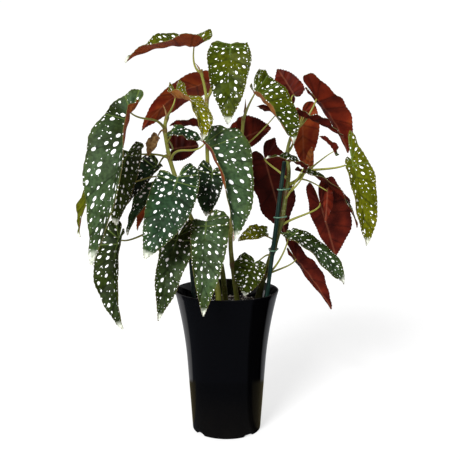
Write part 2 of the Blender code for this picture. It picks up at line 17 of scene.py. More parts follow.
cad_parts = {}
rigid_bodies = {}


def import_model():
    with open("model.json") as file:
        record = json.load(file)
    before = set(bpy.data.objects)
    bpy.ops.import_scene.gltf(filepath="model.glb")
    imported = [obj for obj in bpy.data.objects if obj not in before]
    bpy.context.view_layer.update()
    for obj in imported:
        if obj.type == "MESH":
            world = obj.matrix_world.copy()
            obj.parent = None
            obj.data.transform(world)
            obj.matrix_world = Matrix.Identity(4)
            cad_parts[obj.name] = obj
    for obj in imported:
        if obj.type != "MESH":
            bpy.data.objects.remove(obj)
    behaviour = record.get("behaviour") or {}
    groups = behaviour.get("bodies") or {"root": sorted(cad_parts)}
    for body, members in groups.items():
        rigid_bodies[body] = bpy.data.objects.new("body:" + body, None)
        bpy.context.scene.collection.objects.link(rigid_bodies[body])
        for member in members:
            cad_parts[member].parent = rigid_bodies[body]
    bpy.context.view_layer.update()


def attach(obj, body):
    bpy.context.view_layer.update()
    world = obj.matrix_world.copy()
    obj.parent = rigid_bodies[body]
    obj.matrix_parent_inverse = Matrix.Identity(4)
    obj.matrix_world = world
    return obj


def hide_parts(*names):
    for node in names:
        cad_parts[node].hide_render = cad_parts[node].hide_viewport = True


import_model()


# The pot: a tall nursery pot of black polypropylene, moulded in one piece with a thin wall.
# It tapers straight for half its height and then flares to a thin lip. Four arched notches
# round the foot and four holes in the floor let water out.
MM = 0.001
EDGE_ANGLE = math.radians(50)
POT_HEIGHT = 180.0
POT_FOOT_RADIUS = 43.0
POT_TAPER = 0.0723
POT_FLARE = 9.0
POT_FLARE_START = 85.0
POT_WALL = 1.6
POT_FLOOR = 2.2
POT_SIDES = 128
WALL_STEP = 5
LIP_STEPS = 6
NOTCH_TURN = math.radians(40)
NOTCH_WIDTH = 15.0
NOTCH_HEIGHT = 3.6
NOTCH_DEPTH = 10.0
DRAIN_RADIUS = 4.0
DRAIN_DEPTH = 9.0
DRAIN_RING = 24.0


def linear(colour):
    """Linear RGBA of an sRGB hex colour."""
    parts = [int(colour[i : i + 2], 16) / 255 for i in (1, 3, 5)]
    return (*(c / 12.92 if c <= 0.04045 else ((c + 0.055) / 1.055) ** 2.4 for c in parts), 1.0)


def connect(made, inputs):
    """Fills a node's inputs, in order or by name. A node or a socket is linked, and a value is set."""
    for name, value in inputs.items() if isinstance(inputs, dict) else enumerate(inputs):
        if isinstance(value, bpy.types.Node):
            value = next(output for output in value.outputs if output.enabled)
        if isinstance(value, bpy.types.NodeSocket):
            made.id_data.links.new(value, made.inputs[name])
        else:
            made.inputs[name].default_value = value


def node(tree, kind, inputs=(), stops=(), **settings):
    """Adds a shader node with its inputs, its colour stops and its other settings."""
    made = tree.nodes.new("ShaderNode" + kind)
    for name, value in settings.items():
        setattr(made, name, value)
    for k, (place, colour) in enumerate(stops):
        if k > 1:
            made.color_ramp.elements.new(place)
        made.color_ramp.elements[k].position = place
        made.color_ramp.elements[k].color = linear(colour)
    connect(made, inputs)
    return made


def new_finish(name):
    """A new material, the function that adds nodes to it, and its Object coordinates."""
    made = bpy.data.materials.new(name)
    made.use_nodes = True
    add = partial(node, made.node_tree)
    return made, add, add("TexCoord").outputs["Object"]


def shade(made, colour, roughness, bump, constants=()):
    """Gives a finish's shader its colour, roughness and bump, and what is constant all over."""
    wiring = {"Base Color": colour, "Roughness": roughness, "Normal": bump, **dict(constants)}
    connect(made.node_tree.nodes["Principled BSDF"], wiring)


def new_object(name, bm):
    """An object of a bmesh in millimetres, smooth except at its sharp edges."""
    bmesh.ops.recalc_face_normals(bm, faces=bm.faces[:])
    bm.transform(Matrix.Scale(MM, 4))
    mesh = bpy.data.meshes.new(name)
    bm.to_mesh(mesh)
    bm.free()
    mesh.shade_smooth()
    mesh.set_sharp_from_angle(angle=EDGE_ANGLE)
    obj = bpy.data.objects.new(name, mesh)
    bpy.context.scene.collection.objects.link(obj)
    return obj


def fit(obj, finishes, slot, *nodes):
    """Gives a piece its finishes, and lets it stand for the frame's nodes of those names."""
    for finish in finishes:
        obj.data.materials.append(finish)
    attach(obj, "root")
    if nodes:
        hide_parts(*nodes)


def turned(profile, sides):
    """A bmesh of (radius, height) points spun about the upright axis."""
    bm = bmesh.new()
    verts = [bm.verts.new((radius, 0, height)) for radius, height in profile]
    edges = [bm.edges.new(pair) for pair in zip(verts, verts[1:])]
    bmesh.ops.spin(bm, geom=verts + edges, axis=(0, 0, 1), cent=(0, 0, 0), angle=2 * math.pi,
                   steps=sides, use_merge=True)
    bmesh.ops.remove_doubles(bm, verts=bm.verts[:], dist=0.01)
    return bm


def pot_radius(height):
    """Outer radius of the pot at a height."""
    flare = max(0.0, height - POT_FLARE_START) / (POT_HEIGHT - POT_FLARE_START)
    return POT_FOOT_RADIUS + POT_TAPER * height + POT_FLARE * flare**2


foot = [(0, 0), (POT_FOOT_RADIUS - 1.4, 0), (POT_FOOT_RADIUS - 0.6, 0.3), (POT_FOOT_RADIUS, 1.2)]
wall = [(pot_radius(h), h) for h in range(3, 177, WALL_STEP)]
lip_radius = pot_radius(POT_HEIGHT) - POT_WALL / 2
lip_height = POT_HEIGHT - POT_WALL / 2
lip = []
for k in range(LIP_STEPS + 1):
    turn = math.pi * k / LIP_STEPS
    lip.append((lip_radius + math.cos(turn) * POT_WALL / 2, lip_height + math.sin(turn) * POT_WALL / 2))
inside = [(pot_radius(h) - POT_WALL, h) for h in range(175, 4, -2 * WALL_STEP)]
floor_edge = (pot_radius(POT_FLOOR) - POT_WALL, POT_FLOOR)
profile = [*foot, *wall, *lip, *inside, floor_edge, (0, POT_FLOOR)]
pot = new_object("nursery_pot", turned(profile, POT_SIDES))

cuts = bmesh.new()
for k in range(4):
    spot = Matrix.Rotation(NOTCH_TURN + math.pi / 2 * k, 4, "Z")
    arch = Matrix.Diagonal((NOTCH_WIDTH / 2, 1, NOTCH_HEIGHT, 1)) @ Matrix.Rotation(math.pi / 2, 4, "X")
    bmesh.ops.create_cone(cuts, cap_ends=True, segments=32, radius1=1, radius2=1, depth=NOTCH_DEPTH,
                          matrix=spot @ Matrix.Translation((0, -POT_FOOT_RADIUS, 0)) @ arch)
    bmesh.ops.create_cone(cuts, cap_ends=True, segments=24, radius1=DRAIN_RADIUS, radius2=DRAIN_RADIUS,
                          depth=DRAIN_DEPTH, matrix=spot @ Matrix.Translation((DRAIN_RING, 0, 0)))
cutter = new_object("foot_cutter", cuts)
cut = pot.modifiers.new("foot", "BOOLEAN")
cut.operation = "DIFFERENCE"
cut.solver = "EXACT"
cut.object = cutter
bpy.context.view_layer.update()
pot.data = bpy.data.meshes.new_from_object(pot.evaluated_get(bpy.context.evaluated_depsgraph_get()))
pot.modifiers.remove(cut)
pot.data.materials.clear()
bpy.data.objects.remove(cutter)

# Moulded black polypropylene: glossy, with faint upright flow streaks, and browner and rougher in
# noisy patches towards the foot.
plastic, add, place = new_finish("moulded_black_polypropylene")
height = add("SeparateXYZ", [place]).outputs["Z"]
stretched = add("VectorMath", [place, (260, 260, 9)], operation="MULTIPLY")
streaks = add("TexNoise", {"Vector": stretched, "Scale": 1.0, "Detail": 3.0})
foot_patches = add("TexNoise", {"Vector": place, "Scale": 38.0, "Detail": 6.0, "Roughness": 0.7})
low = add("MapRange", [height, 0.0, 0.06, 1.0, 0.0])
browner_foot = add("Math", [low, foot_patches], operation="MULTIPLY")
tint = add("Mix", {0: browner_foot, 6: linear("#030304"), 7: linear("#100e0b")}, data_type="RGBA")
sheen = add("MapRange", [streaks, 0.3, 0.7, 0.04, 0.08])
gloss = add("Math", [browner_foot, 0.15, sheen], operation="MULTIPLY_ADD")
grain = add("Bump", {"Strength": 0.06, "Distance": 0.0002, "Height": streaks})
shade(plastic, tint, gloss, grain, {"IOR": 1.49})
fit(pot, [plastic], "pot", "pot")


# The potting mix: dark peat, packed by watering into a low mound about 20 mm below the lip,
# with white perlite and chips of bark lying in it.
SOIL_TOP = 159.0
SOIL_MOUND = 4.0
SOIL_GAP = 2.2
SOIL_SIDES = 120
SOIL_RINGS = 44
LUMP_SCALE = 0.16
LUMP_HEIGHT = 0.9
CRUMB_ROUGHNESS = 0.35
# Seed, count, smallest and largest size, and flatness.
PERLITE = (3, 240, 1.0, 3.4, 0.8)
BARK = (8, 130, 1.6, 4.6, 0.35)
soil_edge = pot_radius(SOIL_TOP) - SOIL_GAP
soil_floor = POT_FLOOR + 0.3


def soil_height(x, y):
    """Height of the mound, with its lumps."""
    share = math.hypot(x, y) / soil_edge
    lumps = noise.fractal(Vector((x, y, 7)) * LUMP_SCALE, 0.9, 2.1, 5)
    return SOIL_TOP + SOIL_MOUND * (1 - share**2) + LUMP_HEIGHT * lumps * (1 - 0.6 * share)


top_rings = [(soil_edge * k / SOIL_RINGS, SOIL_TOP) for k in range(SOIL_RINGS + 1)]
soil_wall = [(pot_radius(h) - SOIL_GAP, h) for h in (140, 115, 90, soil_floor)]
bm = turned([*top_rings, *soil_wall, (0, soil_floor)], SOIL_SIDES)
for vert in bm.verts:
    if vert.co.z > SOIL_TOP - 1:
        vert.co.z = soil_height(vert.co.x, vert.co.y)
potting_mix = new_object("potting_mix", bm)

# Damp peat: near black, fibrous and dull, a little browner where it has dried.
peat, add, place = new_finish("damp_peat")
fibres = add("TexNoise", {"Vector": place, "Scale": 420.0, "Detail": 8.0, "Roughness": 0.75})
patches = add("TexNoise", {"Vector": place, "Scale": 60.0, "Detail": 2.0})
mixed = add("Math", [fibres, patches], operation="MULTIPLY")
tint = add("ValToRGB", [mixed], stops=[(0.12, "#0d0a08"), (0.3, "#2a2019"), (0.48, "#4a3a2c")])
damp = add("MapRange", [patches, 0.0, 1.0, 0.75, 1.0])
crumbly = add("Bump", {"Strength": 0.9, "Distance": 0.0015, "Height": fibres})
shade(peat, tint, damp, crumbly)
fit(potting_mix, [peat], "soil", "soil")


def scatter(name, seed, count, smallest, largest, flatness):
    """Small crumbs of the mix, lying on the mound at random turns."""
    draw = random.Random(seed)
    noise.seed_set(seed)
    bm = bmesh.new()
    for _ in range(count):
        turn = draw.uniform(0, 2 * math.pi)
        away = (soil_edge - 3) * math.sqrt(draw.random())
        size = draw.uniform(smallest, largest) / 2
        x, y = away * math.cos(turn), away * math.sin(turn)
        spot = Matrix.Translation((x, y, soil_height(x, y) + 0.25 * size))
        tilt = Matrix.Rotation(draw.uniform(-0.5, 0.5), 4, "X") @ Matrix.Rotation(turn * 7, 4, "Z")
        shape = Matrix.Diagonal((size, size * draw.uniform(0.55, 0.9), size * flatness, 1))
        made = bmesh.ops.create_icosphere(bm, subdivisions=1, radius=1, matrix=spot @ tilt @ shape)
        for vert in made["verts"]:
            vert.co += noise.noise_vector(vert.co * 1.7) * size * CRUMB_ROUGHNESS
    return new_object(name, bm)


def grained(name, grain, tints, roughness, relief, constants=(), stretch=(1, 1, 1)):
    """A finish whose tint, roughness and relief (strength and depth) all follow one grain."""
    made, add, place = new_finish(name)
    if stretch != (1, 1, 1):
        place = add("VectorMath", [place, stretch], operation="MULTIPLY")
    grains = add("TexNoise", {"Vector": place, **grain})
    tint = add("ValToRGB", [grains], stops=tints)
    rough = add("MapRange", [grains, 0.0, 1.0, *roughness])
    bump = add("Bump", {"Strength": relief[0], "Distance": relief[1], "Height": grains})
    shade(made, tint, rough, bump, constants)
    return made


# Perlite: expanded volcanic glass, chalk white and rough.
perlite = grained("expanded_perlite", {"Scale": 900.0}, [(0.3, "#9a948a"), (0.6, "#e6e2da")],
                  roughness=(0.85, 1.0), relief=(0.5, 0.0005))
fit(scatter("perlite", *PERLITE), [perlite], "soil")

# Composted pine bark: dull red brown chips with paler broken faces.
bark = grained("composted_pine_bark", {"Scale": 500.0, "Detail": 4.0},
               [(0.3, "#1c120c"), (0.55, "#3f2a1c"), (0.7, "#6b4d36")],
               roughness=(0.8, 0.95), relief=(0.7, 0.0006))
fit(scatter("bark_chips", *BARK), [bark], "soil")


# The stakes: thin steel tubes in a dark green plastic coat, with a closed nose and small nubs
# that keep the ties from slipping. They are pushed into the soil beside the canes.
STAKE_RADIUS = 2.7
STAKE_SIDES = 20
NUB_SPACING = 12.0
NUB_HEIGHT = 0.15
STAKE_STEP = 1.5
NOSE_LENGTH = 1.5
NOSE_STEPS = 6
STAKES = {
    "stake_left": ((-35, -32, 122), (-46, -20, 250)),
    "stake_right": ((42, -15, 110), (70, -13, 339)),
}


def tube(bm, path, radii, sides, first_direction=None, closed=False, mark=None):
    """Draws a circle out along path, with a radius at each point. mark tags each ring of verts."""
    across, ring, before, first = None, None, None, None
    count = len(path)
    for i, point in enumerate(path):
        behind = path[i - 1] if closed else path[max(i - 1, 0)]
        ahead = path[(i + 1) % count] if closed else path[min(i + 1, count - 1)]
        tangent = (ahead - behind).normalized()
        if i == 0 and first_direction is not None:
            tangent = first_direction.normalized()
        across = tangent.orthogonal() if across is None else across
        across = (across - tangent * across.dot(tangent)).normalized()
        axes = Matrix((across, tangent.cross(across), tangent)).transposed().to_4x4()
        here = Matrix.Translation(point) @ axes @ Matrix.Diagonal((radii[i], radii[i], 1, 1))
        if ring is None:
            verts = bmesh.ops.create_circle(bm, segments=sides, radius=1, matrix=here,
                                            cap_ends=not closed)["verts"]
            ring = first = list(dict.fromkeys(edge for vert in verts for edge in vert.link_edges))
        else:
            drawn = bmesh.ops.extrude_edge_only(bm, edges=ring)["geom"]
            verts = [part for part in drawn if isinstance(part, bmesh.types.BMVert)]
            fresh = set(verts)
            edges = (part for part in drawn if isinstance(part, bmesh.types.BMEdge))
            ring = [edge for edge in edges if fresh.issuperset(edge.verts)]
            bmesh.ops.transform(bm, matrix=here @ before.inverted(), verts=verts)
        if mark:
            mark(i, verts)
        before = here
    if closed:
        bmesh.ops.bridge_loops(bm, edges=ring + first)
    else:
        bmesh.ops.contextual_create(bm, geom=ring)


# Green plastic coat: extruded over the steel, glossy, with fine lengthwise lines.
coat = grained("green_plastic_coat", {"Scale": 1.0, "Detail": 2.0}, [(0.3, "#081c18"), (0.7, "#12352b")],
               roughness=(0.25, 0.45), relief=(0.3, 0.0003), constants={"IOR": 1.5},
               stretch=(900, 900, 20))

for name, ends in STAKES.items():
    low, high = (Vector(p) for p in ends)
    rise = (high - low).normalized()
    path, radii = [], []
    steps = int((high - low).length / STAKE_STEP)
    for k in range(steps + 1):
        along = (high - low).length * k / steps
        path.append(low + rise * along)
        nub = max(0.0, math.cos(2 * math.pi * along / NUB_SPACING)) ** 12
        radii.append(STAKE_RADIUS - NUB_HEIGHT + NUB_HEIGHT * nub)
    for k in range(1, NOSE_STEPS):
        turn = math.pi / 2 * k / (NOSE_STEPS - 0.5)
        path.append(high + rise * NOSE_LENGTH * math.sin(turn))
        radii.append(STAKE_RADIUS * math.cos(turn))
    bm = bmesh.new()
    tube(bm, path, radii, STAKE_SIDES)
    fit(new_object("coated_" + name, bm), [coat], "stake", name)


# The canes: green, jointed stems that grow from the soil. Each joint is a swollen ring with a
# brown scar where a leaf's sheath sat, and papery brown sheaths still stand at the youngest joints.
CANE_SIDES = 20
CANE_FOOT = 160.0
ROOT_DEPTH = 45.0
JOINT_SWELLING = 0.8
JOINT_REACH = 4.5
CANE_AGEING = 600.0
SEAT_DEPTH = 0.4
# Each cane's youth lightens its whole skin towards young green. It is partly painted light and shade:
# lowest on the right cane, which stands in the leaves' shade, and highest on the lit left cane.
CANES = {
    "cane_left": {
        "path": [(-9, -20, 160), (-12, -19, 190), (-26, -15, 232), (-45, -10, 274), (-59, -5, 311),
                 (-69, 0, 341), (-75, 0, 377), (-72, 0, 394)],
        "radii": (3.9, 2.0),
        "youth_and_shade": 0.35,
        "joints": (215, 262, 305, 344, 377, 392),
    },
    "cane_centre": {
        "path": [(-1, 4, 160), (-5, 3, 200), (-13, 2, 242), (-20, 0, 286), (-23, 0, 335),
                 (-24, 0, 377), (-24, 0, 414), (-31, 0, 450)],
        "radii": (3.6, 1.6),
        "youth_and_shade": 0.2,
        "joints": (222, 270, 330, 380, 413, 448),
    },
    "cane_back": {
        "path": [(14, -8, 160), (9, -8, 200), (5, -4, 240), (9, 2, 292), (17, 5, 353), (21, 5, 394)],
        "radii": (3.4, 1.9),
        "youth_and_shade": 0.3,
        "joints": (212, 262, 310, 356, 392),
    },
    "cane_right": {
        "path": [(38, 6, 160), (44, 4, 186), (53, 1, 213), (61, -2, 241), (69, -5, 273), (73, -2, 300),
                 (77, 6, 325), (75, 10, 350), (82, 10, 378)],
        "radii": (4.2, 1.9),
        "youth_and_shade": 0.0,
        "joints": (199, 231, 270, 300, 345, 376),
    },
    "cane_branch": {
        "parent": ("cane_right", 311),
        "path": [(85, 9, 314), (90, 11, 318), (99, 12, 327), (106, 13, 331)],
        "radii": (2.4, 1.6),
        "youth_and_shade": 0.3,
        "joints": (329,),
    },
}
# Each sheath's foot, tip and width.
SHEATHS = [
    ((-72, 0, 391), (-77, 0, 408), 1.6),
    ((-31, 0, 447), (-38, 0, 458), 1.3),
    ((21, 5, 391), (23, 5, 415), 2.0),
    ((-24, 0, 412), (-19, -3, 423), 1.1),
    ((82, 10, 376), (84, 8, 388), 1.2),
    ((106, 13, 330), (112, 11, 338), 1.0),
    ((-69, 0, 343), (-75, -4, 352), 1.0),
    ((61, -3, 232), (55, -7, 241), 1.1),
    ((73, -2, 299), (78, -7, 303), 1.0),
]
# A sheath's radius from foot to tip, in widths.
SHEATH_TAPER = (1.0, 0.85355, 0.5, 0.84375, 0.6875, 0.53125, 0.375, 0.21875, 0.0625)
SHEATH_BOW = 0.6
SHEATH_SIDES = 8


def between(before, start, end, after, t):
    """The point at share t from start to end of a Catmull-Rom curve through all four."""
    bend = 2 * before - 5 * start + 4 * end - after
    kink = 3 * start - before - 3 * end + after
    return 0.5 * (2 * start + (end - before) * t + bend * t**2 + kink * t**3)


def smooth_path(points, steps):
    """Points along a Catmull-Rom curve through the given ones, steps to each span."""
    knots = [Vector(p) for p in points]
    knots = [knots[0] * 2 - knots[1], *knots, knots[-1] * 2 - knots[-2]]
    path = []
    for i in range(1, len(knots) - 2):
        for k in range(steps):
            path.append(between(*knots[i - 1 : i + 3], k / steps))
    path.append(knots[-2])
    return path


def nearest_joint(cane, point):
    """Height between a point and the nearest joint of its cane."""
    return min(abs(point.z - joint) for joint in cane["joints"])


def cane_line(name, steps=12):
    """Centre points and radii of a cane, from its foot in the soil or on its parent to its top."""
    cane = CANES[name]
    points = [Vector(p) for p in cane["path"]]
    if "parent" in cane:
        path = smooth_path([seat_on(*cane["parent"], points[0])[0], *points], steps)
    else:
        path = [points[0] - Vector((0, 0, ROOT_DEPTH)), *smooth_path(points, steps)]
    low, high = cane["radii"]
    radii = []
    for i, point in enumerate(path):
        swelling = JOINT_SWELLING * math.exp(-((nearest_joint(cane, point) / JOINT_REACH) ** 2))
        radii.append(low + (high - low) * i / (len(path) - 1) + swelling)
    return path, radii


def cane_at(name, height):
    """Centre, radius and direction of a cane at a height."""
    path, radii = cane_line(name, 3)
    for i in range(len(path) - 1):
        if path[i].z <= height <= path[i + 1].z:
            share = (height - path[i].z) / (path[i + 1].z - path[i].z)
            radius = radii[i] + (radii[i + 1] - radii[i]) * share
            return path[i].lerp(path[i + 1], share), radius, (path[i + 1] - path[i]).normalized()
    raise ValueError(f"{name} does not reach {height}")


def seat_on(name, height, towards):
    """Where a growth on a cane starts, its way out from the cane, and the cane's direction there."""
    centre, radius, direction = cane_at(name, height)
    lead = towards - centre
    lead = (lead - direction * lead.dot(direction)).normalized()
    return centre + lead * (radius - SEAT_DEPTH), lead, direction


def held(add, name):
    """The three numbers that a piece's attribute holds."""
    return add("SeparateXYZ", [add("Attribute", attribute_name=name).outputs["Vector"]]).outputs


# Living stem skin: smooth and waxy, olive green above and browner with age, with pale breathing
# dots, a brown band at each joint and a faint red flush on the leaf stalks. Its stem attribute
# holds the age (0 old, 1 young), which on the canes is partly painted shade and light, the distance
# to the nearest joint in mm, and the flush.
stem_skin, add, place = new_finish("waxy_green_stem")
youth_and_shade, to_joint, redness = held(add, "stem")
mottle = add("TexNoise", {"Vector": place, "Scale": 130.0, "Detail": 3.0})
age = add("Math", [mottle, 0.35, youth_and_shade], operation="MULTIPLY_ADD")
aged = add("Math", [age, 0.17], operation="SUBTRACT")
green = add("ValToRGB", [aged], stops=[(0.0, "#3c4014"), (0.5, "#70742a"), (1.0, "#a4a84c")])
band = add("MapRange", [to_joint, 1.2, 5.0, 0.75, 0.0])
joint = add("Mix", {0: band, 6: green, 7: linear("#6b4a2c")}, data_type="RGBA")
squashed = add("VectorMath", [place, (1, 1, 0.45)], operation="MULTIPLY")
cells = add("TexVoronoi", {"Vector": squashed, "Scale": 420.0})
dots = add("MapRange", [cells.outputs["Distance"], 0.14, 0.2, 0.55, 0.0])
dotted = add("Mix", {0: dots, 6: joint, 7: linear("#b9b88a")}, data_type="RGBA")
flush = add("Math", [redness, mottle], operation="MULTIPLY")
flushed = add("Mix", {0: flush, 6: dotted, 7: linear("#8a3a22")}, data_type="RGBA")
waxy = add("MapRange", [mottle, 0.0, 1.0, 0.32, 0.5])
ridges = add("Bump", {"Strength": 0.35, "Distance": 0.0005, "Height": cells.outputs["Distance"]})
shade(stem_skin, flushed, waxy, ridges,
      {"IOR": 1.42, "Subsurface Weight": 0.08, "Subsurface Radius": (0.003, 0.003, 0.001)})

for name, cane in CANES.items():
    path, radii = cane_line(name)
    bm = bmesh.new()
    stem_layer = bm.verts.layers.float_vector.new("stem")

    def mark_cane(i, verts):
        for vert in verts:
            age = cane["youth_and_shade"] + (path[i].z - CANE_FOOT) / CANE_AGEING
            vert[stem_layer] = (age, nearest_joint(cane, path[i]), 0.0)

    tube(bm, path, radii, CANE_SIDES, mark=mark_cane)
    fit(new_object("green_" + name, bm), [stem_skin], "cane", name)

# Dried sheath: papery, brown, with fine lengthwise nerves.
papery = grained("dried_leaf_sheath", {"Scale": 1.0}, [(0.3, "#5c3d1c"), (0.7, "#a58450")],
                 roughness=(0.6, 0.8), relief=(0.5, 0.0003), stretch=(900, 900, 60))

bm = bmesh.new()
for start, end, width in SHEATHS:
    start, end = Vector(start), Vector(end)
    bow = (end - start).orthogonal().normalized() * width * SHEATH_BOW
    shares = [k / (len(SHEATH_TAPER) - 1) for k in range(len(SHEATH_TAPER))]
    path = [start.lerp(end, share) + bow * math.sin(math.pi * share) for share in shares]
    tube(bm, path, [width * taper for taper in SHEATH_TAPER], SHEATH_SIDES)
fit(new_object("papery_sheaths", bm), [papery], "cane")


# The ties: soft wire in an extruded coat of pale green plastic. Each one is bent by hand into a
# loop round the right stake and the cane beside it.
TIE_RADIUS = 0.75
TIE_SIDES = 12
TIE_STEPS = 12
OFF_CANE = 1.6
OFF_STAKE = 1.4
TIES = {"tie_upper": 306, "tie_middle": 272, "tie_lower": 231}

# Soft plastic coat: pale green and satin, with a fine mottle.
soft_coat = grained("soft_green_tie_coat", {"Scale": 700.0}, [(0.3, "#467a5e"), (0.7, "#86ae94")],
                    roughness=(0.4, 0.55), relief=(0.3, 0.0003))

for name, height in TIES.items():
    centre, radius, _ = cane_at("cane_right", height)
    low, high = (Vector(p) for p in STAKES["stake_right"])
    post = low.lerp(high, (height - low.z) / (high.z - low.z))
    heading = math.atan2(centre.y - post.y, centre.x - post.x)
    bends = ((centre, radius + OFF_CANE, heading), (post, STAKE_RADIUS + OFF_STAKE, heading + math.pi))
    path = []
    for middle, bend, facing in bends:
        for k in range(TIE_STEPS):
            angle = facing - math.pi / 2 + math.pi * k / (TIE_STEPS - 1)
            away = Vector((math.cos(angle), math.sin(angle), 0))
            path.append(Vector((middle.x, middle.y, height)) + away * bend)
    bm = bmesh.new()
    tube(bm, path, [TIE_RADIUS] * len(path), TIE_SIDES, closed=True)
    fit(new_object("coated_" + name, bm), [soft_coat], "tie", name)


# The leaves: each is one blade on its stalk. The blade is lopsided, like a wing, with veins that
# fan out from the stalk, toothed and waved margins, white spots above and red below. A leaf is set
# out by where its stalk meets it, where its tip hangs, and which way its upper side faces.
BLADE_THICKNESS = 0.7
PALMATE_SHARE = 0.4
WAVES_A_SIDE = 3.0
JAGS_A_SIDE = 4.2
FRILLS_A_SIDE = 7.3
FRILL_HEIGHT = 0.5
TOOTH_OUT = 0.6
TOOTH_IN = -0.3
QUILT_SHARE = 0.15
QUILT_LIMIT = 1.4
VEINS = 8
MIDRIB_GROOVE = 1.4
STALK_RADIUS = 1.7
STALK_NECK_RADIUS = 0.9
STALK_SIDES = 10
STALK_STEPS = 16
STALK_YOUTH = 0.62
STALK_FLUSH = 0.12
HEEL_WIDTH = 0.35
HEEL_LENGTH = 3.0
# Across in half widths, along in blade lengths, from the notch at the stalk to the tip.
MARGIN = [(0.03, -0.08), (0.14, -0.18), (0.42, -0.22), (0.72, -0.16), (0.9, -0.02),
          (1, 0.18), (0.94, 0.42), (0.72, 0.66), (0.36, 0.86), (0.03, 1)]
# Rows to each vein, columns to each half, and the stoutness of the stalk.
GRAINS = {"large": (10, 12, 1.0), "medium": (8, 9, 0.85), "small": (6, 6, 0.65)}


@dataclass
class Leaf:
    """One leaf. base is where its stalk meets it, stem the cane and the height that the stalk springs
    from, big the side of its larger half (1 or -1), and small the other half's share of that width.
    arch, fold and twist are in degrees. sweep bends the midrib aside and wave lifts the margin, in mm.
    lobe and small_lobe stretch the lobes by the stalk, and lift and hook bend them up and aside.
    shoulder narrows the blade near the stalk and taper near the tip, jag cuts the margin, and spread
    opens the fold towards the tip. tone is the upper side's green (0 dark, 1 yellow), blush the
    underside's red (0 near black, 1 pink brown), and pitch the spacing of its large spots in mm."""

    name: str
    base: tuple
    tip: tuple
    face: tuple
    width: float
    stem: tuple
    arch: float = 40.0
    fold: float = 20.0
    big: int = 1
    sweep: float = 0.0
    twist: float = 0.0
    wave: float = 2.0
    lobe: float = 1.0
    lift: float = 0.0
    small: float = 0.72
    small_lobe: float = 0.5
    taper: float = 0.0
    hook: float = 0.0
    shoulder: float = 1.0
    jag: float = 0.0
    spread: float = 0.0
    grain: str = "large"
    tone: float = 0.35
    blush: float = 0.4
    pitch: float = 9.0


